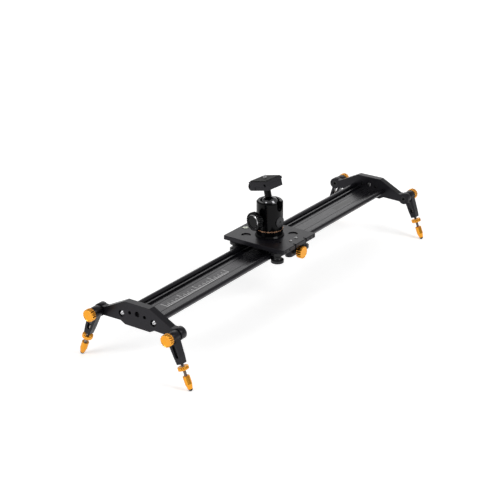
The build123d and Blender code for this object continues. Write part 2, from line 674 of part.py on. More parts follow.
def head_base():
    profile = [
        (0, CARRIAGE_TOP_Z), (BASE_RADIUS - BASE_EDGE, CARRIAGE_TOP_Z),
        (BASE_RADIUS, CARRIAGE_TOP_Z + BASE_EDGE),
        (BASE_NECK_RADIUS, BASE_FLARE_Z), (BASE_NECK_RADIUS, BASE_TOP_Z),
        (PAN_PIVOT_RADIUS, BASE_TOP_Z), (PAN_PIVOT_RADIUS, PAN_PIVOT_TOP_Z), (0, PAN_PIVOT_TOP_Z),
    ]
    stud_top = (HEAD_X, 0, BASE_TOP_Z - STUD_COVER)
    base = Pos(HEAD_X, 0, 0) * turned(profile)
    return base - rod(STUD_RADIUS, (HEAD_X, 0, CARRIAGE_TOP_Z), stud_top)


def pan_ring():
    low = (HEAD_X, 0, BASE_TOP_Z)
    high = (HEAD_X, 0, PAN_RING_TOP_Z)
    return rod(PAN_RING_RADIUS, low, high) - rod(PAN_PIVOT_RADIUS + HOLE_CLEARANCE, low, high)


def housing():
    profile = [
        (0, HOUSING_BOTTOM_Z), (HOUSING_RADIUS, HOUSING_BOTTOM_Z),
        (HOUSING_RADIUS, HOUSING_TOP_Z - HOUSING_BEVEL),
        (HOUSING_RADIUS - HOUSING_BEVEL, HOUSING_TOP_Z), (0, HOUSING_TOP_Z),
    ]
    body = turned(profile)
    body -= rod(PAN_PIVOT_RADIUS + RUNNING_CLEARANCE, (0, 0, HOUSING_BOTTOM_Z),
                (0, 0, PAN_PIVOT_TOP_Z + FACE_GAP))
    body -= rod(CAVITY_RADIUS, (0, 0, CAVITY_FLOOR_Z), (0, 0, BALL_Z))
    body -= Pos(0, 0, BALL_Z) * Sphere(BALL_RADIUS + BALL_GAP)
    rim_height = HOUSING_TOP_Z - BALL_Z
    rim = [(0, BALL_Z), (RIM_WAIST_RADIUS, BALL_Z + rim_height / 2),
           (RIM_CONE_RADIUS, HOUSING_TOP_Z), (0, HOUSING_TOP_Z)]
    body -= turned(rim)
    ahead = heading(NOTCH_HEADING_DEG)
    notch_plane = Plane(origin=(0, 0, BALL_Z), x_dir=(0, 0, 1), z_dir=ahead)
    slot_length = 2 * rim_height + DROP_NOTCH_WIDTH
    notch = SlotOverall(slot_length, DROP_NOTCH_WIDTH)
    notch = Pos((slot_length - DROP_NOTCH_WIDTH) / 2, 0) * notch
    body -= extrude(notch_plane * notch, HOUSING_RADIUS + OVERCUT)
    cap_face = ahead * HOUSING_RADIUS
    cap_plane = Plane(origin=(cap_face.X, cap_face.Y, SIDE_CAP_Z), z_dir=ahead)
    body += extrude(cap_plane * Circle(SIDE_CAP_RADIUS), -HOUSING_BEVEL)
    beyond = HOUSING_RADIUS + OVERCUT
    lock = heading(LOCK_HEADING_DEG)
    lock_out = (lock.X * beyond, lock.Y * beyond, LOCK_Z)
    body -= rod(LOCK_STEM_RADIUS + RUNNING_CLEARANCE, (0, 0, LOCK_Z), lock_out)
    pan = heading(PAN_KNOB_HEADING_DEG)
    pan_in = (pan.X * PAN_PIVOT_RADIUS, pan.Y * PAN_PIVOT_RADIUS, PAN_KNOB_Z)
    pan_out = (pan.X * beyond, pan.Y * beyond, PAN_KNOB_Z)
    body -= rod(PAN_KNOB_STEM_RADIUS + RUNNING_CLEARANCE, pan_in, pan_out)
    return in_head(body)


def ball_cup():
    """The pressure cup that the lock drives up under the ball."""
    cup_radius = CAVITY_RADIUS - HOLE_CLEARANCE
    cup = rod(cup_radius, (0, 0, CUP_BOTTOM_Z), (0, 0, CUP_TOP_Z))
    return in_head(cup - Pos(0, 0, BALL_Z) * Sphere(BALL_RADIUS + BALL_GAP))


def main_lock_knob():
    out = heading(LOCK_HEADING_DEG)
    plane = Plane(origin=(0, 0, LOCK_Z), z_dir=out)
    profile = [
        (0, LOCK_STEM_INNER), (LOCK_STEM_RADIUS, LOCK_STEM_INNER),
        (LOCK_STEM_RADIUS, LOCK_COLLAR_START), (LOCK_COLLAR_RADIUS, LOCK_COLLAR_START),
        (LOCK_COLLAR_RADIUS, LOCK_DISC_START), (LOCK_DISC_RADIUS - KNOB_CHAMFER, LOCK_DISC_START),
        (LOCK_DISC_RADIUS, LOCK_DISC_START + KNOB_CHAMFER),
        (LOCK_DISC_RADIUS, LOCK_DISC_END - KNOB_CHAMFER),
        (LOCK_DISC_RADIUS - KNOB_CHAMFER, LOCK_DISC_END), (0, LOCK_DISC_END),
    ]
    return in_head(turned(profile, plane))


def pan_lock_knob():
    plane = Plane(origin=(0, 0, PAN_KNOB_Z), z_dir=heading(PAN_KNOB_HEADING_DEG))
    profile = [
        (0, PAN_KNOB_STEM_INNER), (PAN_KNOB_STEM_RADIUS, PAN_KNOB_STEM_INNER),
        (PAN_KNOB_STEM_RADIUS, PAN_KNOB_START), (PAN_KNOB_RADIUS - KNOB_CHAMFER, PAN_KNOB_START),
        (PAN_KNOB_RADIUS, PAN_KNOB_START + KNOB_CHAMFER),
        (PAN_KNOB_RADIUS, PAN_KNOB_END - KNOB_CHAMFER),
        (PAN_KNOB_RADIUS - KNOB_CHAMFER, PAN_KNOB_END), (0, PAN_KNOB_END),
    ]
    return in_head(turned(profile, plane))


def ball():
    return Pos(HEAD_X, 0, BALL_Z) * Sphere(BALL_RADIUS)


# Clamp, drawn upright about the ball's centre and then pitched back

def pitched(shape):
    return in_head(Pos(0, 0, BALL_Z) * Rot(-HEAD_PITCH_DEG, 0, 0) * shape)


def stem():
    root = BALL_RADIUS - OVERCUT
    shaft = [(0, root), (NECK_RADIUS, root), (NECK_RADIUS, CLAMP_BOTTOM - NECK_FLARE),
             (NECK_FOOT_RADIUS, CLAMP_BOTTOM), (0, CLAMP_BOTTOM)]
    return pitched(turned(shaft) - Sphere(BALL_RADIUS + BALL_GAP))


def dovetail(half_width_bottom, half_width_top, low, high, half_length):
    """A dovetail bar along X with sloping sides."""
    face = make_face(Polyline(
        (-half_width_bottom, low), (half_width_bottom, low),
        (half_width_top, high), (-half_width_top, high), close=True,
    ))
    return extrude(Plane.YZ.offset(-half_length) * face, 2 * half_length)


def clamp_space():
    floor = CLAMP_BOTTOM + CLAMP_BASE_THICKNESS
    return dovetail(DOVETAIL_BOTTOM_HALF, DOVETAIL_TOP_HALF, floor, CLAMP_BOTTOM + CLAMP_HEIGHT,
                    CLAMP_HALF + OVERCUT)


def clamp_blank():
    high = CLAMP_BOTTOM + CLAMP_HEIGHT
    return block((-CLAMP_HALF, -CLAMP_HALF, CLAMP_BOTTOM), (CLAMP_HALF, CLAMP_HALF, high))


def clamp_screw_z():
    return CLAMP_BOTTOM + CLAMP_BASE_THICKNESS / 2


def clamp_body():
    body = clamp_blank() - clamp_space()
    high = CLAMP_BOTTOM + CLAMP_HEIGHT
    beyond = CLAMP_HALF + OVERCUT
    body -= block((-beyond, JAW_SPLIT, CLAMP_BOTTOM), (beyond, beyond, high))
    z = clamp_screw_z()
    bore_radius = CLAMP_SCREW_RADIUS + RUNNING_CLEARANCE
    body -= rod(bore_radius, (0, CLAMP_SCREW_END_Y - OVERCUT, z), (0, JAW_SPLIT, z))
    return pitched(body)


def clamp_jaw():
    jaw = clamp_blank() - clamp_space()
    high = CLAMP_BOTTOM + CLAMP_HEIGHT
    edge = JAW_SPLIT + JAW_GAP
    beyond = CLAMP_HALF + OVERCUT
    jaw -= block((-beyond, -beyond, CLAMP_BOTTOM), (beyond, edge, high))
    z = clamp_screw_z()
    jaw -= rod(CLAMP_SCREW_RADIUS + RUNNING_CLEARANCE, (0, JAW_SPLIT, z), (0, beyond, z))
    return pitched(jaw)


def clamp_knob():
    z = clamp_screw_z()
    rim = CLAMP_KNOB_RADIUS - KNOB_CHAMFER
    profile = [
        (0, CLAMP_SCREW_END_Y), (CLAMP_SCREW_RADIUS, CLAMP_SCREW_END_Y),
        (CLAMP_SCREW_RADIUS, CLAMP_KNOB_START), (rim, CLAMP_KNOB_START),
        (CLAMP_KNOB_RADIUS, CLAMP_KNOB_START + KNOB_CHAMFER),
        (CLAMP_KNOB_RADIUS, CLAMP_KNOB_END - KNOB_CHAMFER), (rim, CLAMP_KNOB_END),
        (0, CLAMP_KNOB_END),
    ]
    return pitched(turned(profile, Plane(origin=(0, 0, z), z_dir=(0, 1, 0))))


def camera_plate_levels():
    low = CLAMP_BOTTOM + CLAMP_BASE_THICKNESS + PLATE_CLEARANCE
    deck = CLAMP_BOTTOM + CLAMP_HEIGHT + PLATE_CLEARANCE
    return low, deck, deck + CAMERA_PLATE_THICKNESS


def quick_release_plate():
    low, deck, top = camera_plate_levels()
    gap = 2 * PLATE_CLEARANCE
    bottom_half = DOVETAIL_BOTTOM_HALF - gap
    foot = dovetail(bottom_half, DOVETAIL_TOP_HALF - gap, low, deck, CAMERA_PLATE_HALF_X)
    plate = foot + block(
        (-CAMERA_PLATE_HALF_X, -CAMERA_PLATE_HALF_Y, deck),
        (CAMERA_PLATE_HALF_X, CAMERA_PLATE_HALF_Y, top),
    )
    head_space = low + CAMERA_SCREW_HEAD_HEIGHT + FACE_GAP
    plate -= rod(CAMERA_SCREW_HEAD_RADIUS + HOLE_CLEARANCE, (0, 0, low), (0, 0, head_space))
    return pitched(plate - rod(CAMERA_THREAD_RADIUS + RUNNING_CLEARANCE, (0, 0, low), (0, 0, top)))


def plate_pad():
    top = camera_plate_levels()[2]
    half_x = CAMERA_PLATE_HALF_X - PAD_INSET
    half_y = CAMERA_PLATE_HALF_Y - PAD_INSET
    pad = block((-half_x, -half_y, top), (half_x, half_y, top + PAD_THICKNESS))
    hole_radius = CAMERA_THREAD_RADIUS + HOLE_CLEARANCE
    return pitched(pad - rod(hole_radius, (0, 0, top), (0, 0, top + PAD_THICKNESS)))


def camera_screw():
    low, _, top = camera_plate_levels()
    low += FACE_GAP / 2
    head_top = low + CAMERA_SCREW_HEAD_HEIGHT
    screw = rod(CAMERA_SCREW_HEAD_RADIUS, (0, 0, low), (0, 0, head_top))
    pad_top = top + PAD_THICKNESS
    screw += rod(CAMERA_NECK_RADIUS, (0, 0, head_top), (0, 0, pad_top))
    tip = pad_top + CAMERA_SCREW_RISE
    return pitched(screw + rod(CAMERA_THREAD_RADIUS, (0, 0, pad_top), (0, 0, tip)))


END_NAMES = {LEFT: "left", RIGHT: "right"}
SIDE_NAMES = {FRONT: "front", BACK: "back"}


def all_pieces():
    pieces = {
        "rail": rail(),
        "tripod_inserts": tripod_inserts(),
        "end_plate_left": end_plate(LEFT),
        "end_plate_right": end_plate(RIGHT),
        "end_plate_screws": end_plate_screws(),
        "pivot_bolts": pivot_bolts(),
        "leg_washers": leg_washers(),
        "carriage_plate": carriage_plate(),
        "preload_screws": preload_screws(),
        "wheel_axles": wheel_axles(),
        "wheel_bearings": wheel_bearings(),
        "brake_bracket": brake_bracket(),
        "bracket_screws": bracket_screws(),
        "brake_knob": brake_knob(),
        "brake_pad": brake_pad(),
        "level_body": level_body(),
        "level_lens": level_lens(),
        "head_stud": head_stud(),
        "head_base": head_base(),
        "pan_ring": pan_ring(),
        "housing": housing(),
        "ball_cup": ball_cup(),
        "main_lock_knob": main_lock_knob(),
        "pan_lock_knob": pan_lock_knob(),
        "ball": ball(),
        "stem": stem(),
        "clamp_body": clamp_body(),
        "clamp_jaw": clamp_jaw(),
        "clamp_knob": clamp_knob(),
        "quick_release_plate": quick_release_plate(),
        "plate_pad": plate_pad(),
        "camera_screw": camera_screw(),
    }
    corner_pieces = {
        "leg_arm": leg_arm, "leg_lock_knob": leg_lock_knob, "jam_nut": jam_nut,
        "foot_spindle": foot_spindle, "foot": foot, "foot_tip": foot_tip, "wheel": wheel,
    }
    for end, end_name in END_NAMES.items():
        for side, side_name in SIDE_NAMES.items():
            for name, make in corner_pieces.items():
                pieces[f"{name}_{side_name}_{end_name}"] = make(end, side)
    return pieces


os.makedirs("parts", exist_ok=True)
for node, shape in all_pieces().items():
    export_step(shape, f"parts/{node}.step")
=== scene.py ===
import json
import math

import bpy
from mathutils import Matrix, Vector


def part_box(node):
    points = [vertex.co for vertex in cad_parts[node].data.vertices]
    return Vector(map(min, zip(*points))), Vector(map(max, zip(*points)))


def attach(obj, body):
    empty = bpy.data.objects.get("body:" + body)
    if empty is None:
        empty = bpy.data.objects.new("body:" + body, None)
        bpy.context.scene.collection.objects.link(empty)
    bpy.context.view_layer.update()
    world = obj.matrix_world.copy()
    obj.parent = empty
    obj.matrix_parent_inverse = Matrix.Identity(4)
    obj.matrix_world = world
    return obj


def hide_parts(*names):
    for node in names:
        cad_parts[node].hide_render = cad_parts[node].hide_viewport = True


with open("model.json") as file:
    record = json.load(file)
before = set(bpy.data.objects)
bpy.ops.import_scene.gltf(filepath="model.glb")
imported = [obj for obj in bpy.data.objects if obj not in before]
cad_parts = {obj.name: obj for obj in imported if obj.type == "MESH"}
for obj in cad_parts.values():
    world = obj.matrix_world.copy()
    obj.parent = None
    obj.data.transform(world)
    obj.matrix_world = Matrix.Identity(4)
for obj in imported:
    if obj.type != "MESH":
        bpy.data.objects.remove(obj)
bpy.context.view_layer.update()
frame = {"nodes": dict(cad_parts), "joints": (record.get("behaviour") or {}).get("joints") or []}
JOINTS = {joint["name"]: joint for joint in frame["joints"]}
MM = 0.001
ENDS = ("left", "right")
SIDES = ("front", "back")
CORNERS = [f"{side}_{end}" for side in SIDES for end in ENDS]


# Materials ---------------------------------------------------------------------------------

NOISE_DETAIL = 3.0
PATCH_SCALE = 18.0
GRAIN_ROUGHNESS = 0.6
WEAR_REACH = 0.5 * MM
WEAR_START, WEAR_STOP = 0.78, 0.97


def new_material(name):
    material = bpy.data.materials.new(name)
    material.use_nodes = True
    tree = material.node_tree
    return material, tree, tree.nodes["Principled BSDF"]


def object_coordinates(tree, stretch=(1.0, 1.0, 1.0)):
    coordinates = tree.nodes.new("ShaderNodeTexCoord")
    mapping = tree.nodes.new("ShaderNodeMapping")
    mapping.inputs["Scale"].default_value = stretch
    tree.links.new(coordinates.outputs["Object"], mapping.inputs["Vector"])
    return mapping.outputs["Vector"]


def noise(tree, coordinates, scale, roughness=0.5):
    node = tree.nodes.new("ShaderNodeTexNoise")
    node.inputs["Scale"].default_value = scale
    node.inputs["Detail"].default_value = NOISE_DETAIL
    node.inputs["Roughness"].default_value = roughness
    tree.links.new(coordinates, node.inputs["Vector"])
    return node.outputs["Fac"]


def ramp(tree, factor, low, high, start=0.3, stop=0.7):
    """A ramp between two greys or two colours."""
    node = tree.nodes.new("ShaderNodeValToRGB")
    first, last = node.color_ramp.elements
    first.position = start
    last.position = stop
    first.color = (*low, 1.0) if isinstance(low, tuple) else (low, low, low, 1.0)
    last.color = (*high, 1.0) if isinstance(high, tuple) else (high, high, high, 1.0)
    tree.links.new(factor, node.inputs["Fac"])
    return node.outputs["Color"]


def edge_wear(tree, colour, worn):
    """Lightens a colour where the surface turns sharply, as handling wears an edge."""
    geometry = tree.nodes.new("ShaderNodeNewGeometry")
    rounded = tree.nodes.new("ShaderNodeBevel")
    rounded.samples = 4
    rounded.inputs["Radius"].default_value = WEAR_REACH
    match = tree.nodes.new("ShaderNodeVectorMath")
    match.operation = "DOT_PRODUCT"
    tree.links.new(geometry.outputs["Normal"], match.inputs[0])
    tree.links.new(rounded.outputs["Normal"], match.inputs[1])
    amount = ramp(tree, match.outputs["Value"], 1.0, 0.0, start=WEAR_START, stop=WEAR_STOP)
    mix = tree.nodes.new("ShaderNodeMix")
    mix.data_type = "RGBA"
    tree.links.new(amount, mix.inputs["Factor"])
    tree.links.new(colour, mix.inputs["A"])
    mix.inputs["B"].default_value = (*worn, 1.0)
    return mix.outputs["Result"]


def surface(name, dark, light, gloss, grain, grain_depth, metallic=0.0, stretch=(1.0, 1.0, 1.0),
            coat=0.0, specular=0.5, worn=None, tint=(1.0, 1.0, 1.0)):
    """A finish with soft colour patches, a varied gloss, a fine grain and, if given, worn edges."""
    material, tree, shader = new_material(name)
    patches = noise(tree, object_coordinates(tree), PATCH_SCALE)
    fine = noise(tree, object_coordinates(tree, stretch), grain, roughness=GRAIN_ROUGHNESS)
    colour = ramp(tree, patches, dark, light)
    if worn:
        colour = edge_wear(tree, colour, worn)
    tree.links.new(colour, shader.inputs["Base Color"])
    tree.links.new(ramp(tree, fine, *gloss), shader.inputs["Roughness"])
    bump = tree.nodes.new("ShaderNodeBump")
    bump.inputs["Distance"].default_value = grain_depth
    tree.links.new(fine, bump.inputs["Height"])
    tree.links.new(bump.outputs["Normal"], shader.inputs["Normal"])
    shader.inputs["Metallic"].default_value = metallic
    shader.inputs["Coat Weight"].default_value = coat
    shader.inputs["Specular IOR Level"].default_value = specular
    shader.inputs["Specular Tint"].default_value = (*tint, 1.0)
    return material


def clear_plastic():
    material, tree, shader = new_material("clear_lens")
    scratches = noise(tree, object_coordinates(tree), 900.0)
    tree.links.new(ramp(tree, scratches, 0.02, 0.07), shader.inputs["Roughness"])
    shader.inputs["Base Color"].default_value = (0.97, 0.99, 0.93, 1.0)
    shader.inputs["Transmission Weight"].default_value = 1.0
    shader.inputs["IOR"].default_value = 1.45
    return material


VIOLET = (0.95, 0.92, 1.0)
BLACK = surface("black_anodised", (0.003, 0.003, 0.0042), (0.0052, 0.005, 0.0068), (0.28, 0.4),
                grain=2600.0, grain_depth=0.01 * MM, specular=0.24, worn=(0.02, 0.02, 0.024),
                tint=VIOLET)
RAIL_BLACK = surface("black_extrusion", (0.003, 0.003, 0.004), (0.0055, 0.0053, 0.0068), (0.2, 0.3),
                     grain=900.0, grain_depth=0.01 * MM, stretch=(0.04, 1.0, 1.0), specular=0.36,
                     tint=VIOLET)
HEAD_BLACK = surface("black_head", (0.0006, 0.0006, 0.0009), (0.0014, 0.0014, 0.0018), (0.1, 0.18),
                     grain=2600.0, grain_depth=0.004 * MM, specular=0.12,
                     worn=(0.015, 0.015, 0.017))
CAP_GREY = surface("cast_cap", (0.012, 0.012, 0.014), (0.05, 0.05, 0.053), (0.35, 0.5),
                   grain=1500.0, grain_depth=0.05 * MM, metallic=0.4)
GOLD = surface("gold_anodised", (0.78, 0.32, 0.028), (0.83, 0.36, 0.038), (0.17, 0.25),
               grain=1800.0, grain_depth=0.004 * MM, metallic=1.0, worn=(0.98, 0.66, 0.24))
STEEL = surface("steel", (0.46, 0.46, 0.47), (0.6, 0.6, 0.61), (0.18, 0.32),
                grain=1600.0, grain_depth=0.01 * MM, metallic=1.0)
THREAD_STEEL = surface("thread_steel", (0.2, 0.18, 0.17), (0.3, 0.28, 0.26), (0.28, 0.42),
                       grain=1600.0, grain_depth=0.01 * MM, metallic=1.0)
BALL_STEEL = surface("ball_steel", (0.1, 0.1, 0.105), (0.14, 0.14, 0.145), (0.08, 0.15),
                     grain=1200.0, grain_depth=0.005 * MM, metallic=1.0)
BLACK_STEEL = surface("black_steel", (0.006, 0.006, 0.007), (0.012, 0.012, 0.013), (0.3, 0.45),
                      grain=1600.0, grain_depth=0.01 * MM, specular=0.3)
ACETAL = surface("black_acetal", (0.005, 0.005, 0.006), (0.009, 0.009, 0.01), (0.28, 0.4),
                 grain=1200.0, grain_depth=0.02 * MM, specular=0.3)
COPPER = surface("copper_ring", (0.55, 0.28, 0.15), (0.72, 0.42, 0.26), (0.2, 0.32),
                 grain=1400.0, grain_depth=0.01 * MM, metallic=1.0)
NYLON = surface("nylon", (0.7, 0.69, 0.63), (0.8, 0.79, 0.72), (0.4, 0.55),
                grain=900.0, grain_depth=0.03 * MM)
RUBBER = surface("rubber", (0.008, 0.008, 0.008), (0.014, 0.014, 0.014), (0.6, 0.8),
                 grain=1500.0, grain_depth=0.05 * MM, specular=0.3)
LIQUID = surface("level_liquid", (0.5, 0.58, 0.22), (0.62, 0.7, 0.32), (0.08, 0.14),
                 grain=700.0, grain_depth=0.005 * MM, coat=0.5)
INK = surface("white_ink", (0.66, 0.66, 0.66), (0.8, 0.8, 0.8), (0.45, 0.6),
              grain=1500.0, grain_depth=0.01 * MM)
LABEL = surface("label_film", (0.002, 0.002, 0.002), (0.004, 0.004, 0.004), (0.1, 0.18),
                grain=700.0, grain_depth=0.005 * MM, specular=0.2)
CLEAR = clear_plastic()

NODE_FINISH = {
    "rail": RAIL_BLACK, "housing": HEAD_BLACK, "head_base": HEAD_BLACK, "stem": HEAD_BLACK,
    "ball": BALL_STEEL, "pan_ring": COPPER, "end_plate_screws": STEEL, "bracket_screws": STEEL,
    "wheel_bearings": STEEL, "head_stud": STEEL, "tripod_inserts": STEEL,
    "pivot_bolts": BLACK_STEEL, "wheel_axles": BLACK_STEEL, "preload_screws": BLACK_STEEL,
    "leg_washers": ACETAL, "brake_pad": NYLON, "ball_cup": NYLON, "plate_pad": RUBBER,
}

for node_name, node_object in frame["nodes"].items():
    node_object.data.materials.clear()
    node_object.data.materials.append(NODE_FINISH.get(node_name, BLACK))


# Mesh helpers ------------------------------------------------------------------------------

def add_piece(name, points, faces, finish, body, slot, replaced=(), place=None, sharp=35):
    """A smooth-shaded mesh piece that rides on a body and stands for the replaced nodes."""
    mesh = bpy.data.meshes.new(name)
    mesh.from_pydata(points, [], faces)
    mesh.validate()
    mesh.materials.append(finish)
    mesh.shade_smooth()
    mesh.set_sharp_from_angle(angle=math.radians(sharp))
    piece = bpy.data.objects.new(name, mesh)
    bpy.context.scene.collection.objects.link(piece)
    if place is not None:
        piece.matrix_world = place
    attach(piece, body)
    if replaced:
        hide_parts(*replaced)
    return piece


def standing(origin, axis):
    """The placement whose Z runs along the axis from the origin."""
    place = Vector(axis).to_track_quat("Z", "Y").to_matrix().to_4x4()
    place.translation = Vector(origin)
    return place


def joint_place(name, outward=1.0):
    joint = JOINTS[name]
    return standing(joint["pos_m"], Vector(joint["axis"]) * outward)


def lathe(profile, count=96, cut=None, closed=False):
    """Points and faces of a turned shape.

    The profile holds (radius, height) or (radius, height, share) in millimetres, and cut(angle)
    gives how far the rim is cut in there: a point takes its share of that.
    """
    points = []
    rings = []
    for radius, height, *share in profile:
        if radius == 0:
            rings.append([len(points)] * count)
            points.append((0, 0, height * MM))
            continue
        rings.append(range(len(points), len(points) + count))
        for step in range(count):
            angle = 2 * math.pi * step / count
            depth = share[0] * cut(angle) if share else 0.0
            reach = (radius - depth) * MM
            points.append((reach * math.cos(angle), reach * math.sin(angle), height * MM))
    pairs = list(zip(rings, rings[1:]))
    if closed:
        pairs.append((rings[-1], rings[0]))
    faces = []
    for lower, upper in pairs:
        for step in range(count):
            after = (step + 1) % count
            corners = (lower[step], lower[after], upper[after], upper[step])
            faces.append(tuple(dict.fromkeys(corners)))
    return points, faces


def flutes(number, depth):
    """Rounded grooves with wider lands between them."""
    return lambda angle: depth * (0.5 + 0.5 * math.cos(number * angle)) ** 2


def facets(number, radius):
    """Flats round a circle."""
    half = math.pi / number

    def cut(angle):
        local = angle % (2 * half) - half
        return radius * (1 - math.cos(half) / math.cos(local))
    return cut


def raised(outline, height):
    """A turned outline moved up by a height."""
    return [(radius, level + height, *share) for radius, level, *share in outline]


def threaded_rod(radius, pitch, depth, low, high, count=20, steps=5):
    """Points and faces of a rod with a helical thread and plain closed ends."""
    rows = int((high - low) / pitch * steps)
    points = [(0, 0, low * MM)]
    for row in range(rows + 1):
        height = low + (high - low) * row / rows
        end_taper = min(1.0, row / steps, (rows - row) / steps)
        for step in range(count):
            turn = step / count
            phase = (height / pitch - turn) % 1.0
            crest = abs(2 * phase - 1)
            reach = (radius - depth * (1 - crest * end_taper)) * MM
            angle = 2 * math.pi * turn
            points.append((reach * math.cos(angle), reach * math.sin(angle), height * MM))
    points.append((0, 0, high * MM))
    last = len(points) - 1
    faces = []
    for step in range(count):
        after = (step + 1) % count
        faces.append((0, 1 + after, 1 + step))
        for row in range(rows):
            base = 1 + row * count
            faces.append((base + step, base + after, base + count + after, base + count + step))
        top = 1 + rows * count
        faces.append((top + step, top + after, last))
    return points, faces


EDGE_BULGE = 0.3
SHARE_AT_FACE, SHARE_ON_EDGE, SHARE_ON_RIM = 0.35, 0.8, 1.0


def knob_profile(radius, start, end, edge):
    """A fluted rim between two rounded edges, from height start to end, without its faces."""
    soft = edge * EDGE_BULGE
    return [
        (radius - edge, start, SHARE_AT_FACE), (radius - soft, start + soft, SHARE_ON_EDGE),
        (radius, start + edge, SHARE_ON_RIM), (radius, end - edge, SHARE_ON_RIM),
        (radius - soft, end - soft, SHARE_ON_EDGE), (radius - edge, end, SHARE_AT_FACE),
    ]


def dished_face(radius, length, rim, slope, dish):
    """The outer face of a knob: a flat rim, then a slope down to a shallow dish."""
    return [(radius - rim, length), (radius - rim - slope, length - dish)]


# Legs --------------------------------------------------------------------------------------

# Turned outlines are in millimetres: (radius, height) or (radius, height, share of the cut).
KNOB_STEPS = 8
KNOB_EDGE = 0.8
LOCK_KNOB_FLUTES = 16
LOCK_KNOB_FLUTE_DEPTH = 1.1
LOCK_KNOB_DISH = 0.35
LOCK_KNOB_RIM = 1.7
LOCK_KNOB_SLOPE = 0.5
LOCK_KNOB_DIMPLE = (2.0, 1.2)
JAM_NUT_FLUTES = 14
JAM_NUT_FLUTE_DEPTH = 1.0
JAM_NUT_HEIGHT = 6.0
JAM_NUT_RADIUS = 8.6
SPINDLE_RADIUS = 2.5
NUT_BORE = SPINDLE_RADIUS + 0.06
JAM_NUT_FACE = [(NUT_BORE, 1.1), (NUT_BORE + 1.4, 1.1), (JAM_NUT_RADIUS - 2.2, 0.2)]
SPINDLE_PITCH = 0.8
SPINDLE_THREAD = 0.42
SPINDLE_ABOVE_NUT = 19.5
SPINDLE_BELOW_NUT = 20.5
FOOT_BELOW_NUT = 15.1
FOOT_RADIUS = 5.65
FOOT_BARREL = 14.4
FOOT_FACETS = 12
FOOT_NECK_RADIUS = 3.7
FOOT_MOUTH = [(NUT_BORE, 0.9), (3.4, 0.15), (FOOT_RADIUS - 0.9, 0, 0.6), (FOOT_RADIUS, 0.8, 1.0)]
FOOT_SHOULDER = [
    (FOOT_RADIUS, -0.7, 1.0), (FOOT_RADIUS - 0.35, -0.2, 0.5), (FOOT_RADIUS - 0.5, 0.25),
]
FOOT_END = [(FOOT_NECK_RADIUS + 0.1, -0.5), (FOOT_NECK_RADIUS - 0.15, 0), (0, 0)]
TIP_RADIUS = 3.5
TIP_FOOT = [(0, -0.6), (TIP_RADIUS - 0.3, -0.6), (TIP_RADIUS, 0)]
TIP_ROWS = 8
TIP_COUNT = 48
TURN_COUNT = 64
SHARP_THREAD = 50
SHARP_FACET = 12


def leg_lock_knob(corner):
    node = f"leg_lock_knob_{corner}"
    low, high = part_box(node)
    length = (high.x - low.x) / MM
    radius = (high.z - low.z) / 2 / MM
    dish = LOCK_KNOB_DISH
    dimple_edge, dimple_floor = LOCK_KNOB_DIMPLE
    profile = [(0, 0)] + knob_profile(radius, 0, length, KNOB_EDGE)
    profile += dished_face(radius, length, LOCK_KNOB_RIM, LOCK_KNOB_SLOPE, dish)
    profile += [(dimple_edge, length - dish), (dimple_floor, length - 2 * dish),
                (0, length - 2 * dish)]
    cut = flutes(LOCK_KNOB_FLUTES, LOCK_KNOB_FLUTE_DEPTH)
    shape = lathe(profile, LOCK_KNOB_FLUTES * KNOB_STEPS, cut)
    add_piece(f"lock_knob_{corner}", *shape, GOLD, node, "gold_anodised", [node],
              joint_place(f"leg_lock_turn_{corner}"))


def jam_nut(corner):
    node = f"jam_nut_{corner}"
    profile = JAM_NUT_FACE + knob_profile(JAM_NUT_RADIUS, 0, JAM_NUT_HEIGHT, KNOB_EDGE)
    profile += [(radius, JAM_NUT_HEIGHT - depth) for radius, depth in reversed(JAM_NUT_FACE)]
    cut = flutes(JAM_NUT_FLUTES, JAM_NUT_FLUTE_DEPTH)
    shape = lathe(profile, JAM_NUT_FLUTES * KNOB_STEPS, cut, closed=True)
    place = joint_place(f"jam_nut_turn_{corner}", outward=-1.0)
    add_piece(f"nut_{corner}", *shape, GOLD, node, "gold_anodised", [node], place)


def foot_set(corner):
    """The threaded spindle, the faceted foot and its rubber tip, down the leg's line."""
    body = f"foot_{corner}"
    place = joint_place(f"jam_nut_turn_{corner}", outward=-1.0)
    rod = threaded_rod(SPINDLE_RADIUS, SPINDLE_PITCH, SPINDLE_THREAD, -SPINDLE_ABOVE_NUT,
                       SPINDLE_BELOW_NUT)
    add_piece(f"spindle_{corner}", *rod, THREAD_STEEL, body, "steel",
              [f"foot_spindle_{corner}"], place, sharp=SHARP_THREAD)
    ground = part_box(f"foot_tip_{corner}")[0].z
    tip_line = place.translation.z - ground - TIP_RADIUS * MM
    tip = tip_line / -place.to_3x3().col[2].z / MM
    top = FOOT_BELOW_NUT
    shoulder = top + FOOT_BARREL
    profile = raised(FOOT_MOUTH, top) + raised(FOOT_SHOULDER, shoulder) + raised(FOOT_END, tip)
    barrel = facets(FOOT_FACETS, FOOT_RADIUS)
    add_piece(f"foot_barrel_{corner}", *lathe(profile, FOOT_FACETS * KNOB_STEPS, barrel), GOLD,
              body, "gold_anodised", [f"foot_{corner}"], place, sharp=SHARP_FACET)
    dome = raised(TIP_FOOT, tip)
    for row in range(1, TIP_ROWS):
        angle = math.pi / 2 * row / TIP_ROWS
        dome.append((TIP_RADIUS * math.cos(angle), tip + TIP_RADIUS * math.sin(angle)))
    dome.append((0, tip + TIP_RADIUS))
    add_piece(f"tip_{corner}", *lathe(dome, TIP_COUNT), RUBBER, body, "rubber",
              [f"foot_tip_{corner}"], place)


for corner in CORNERS:
    leg_lock_knob(corner)
    jam_nut(corner)
    foot_set(corner)


# Carriage ----------------------------------------------------------------------------------

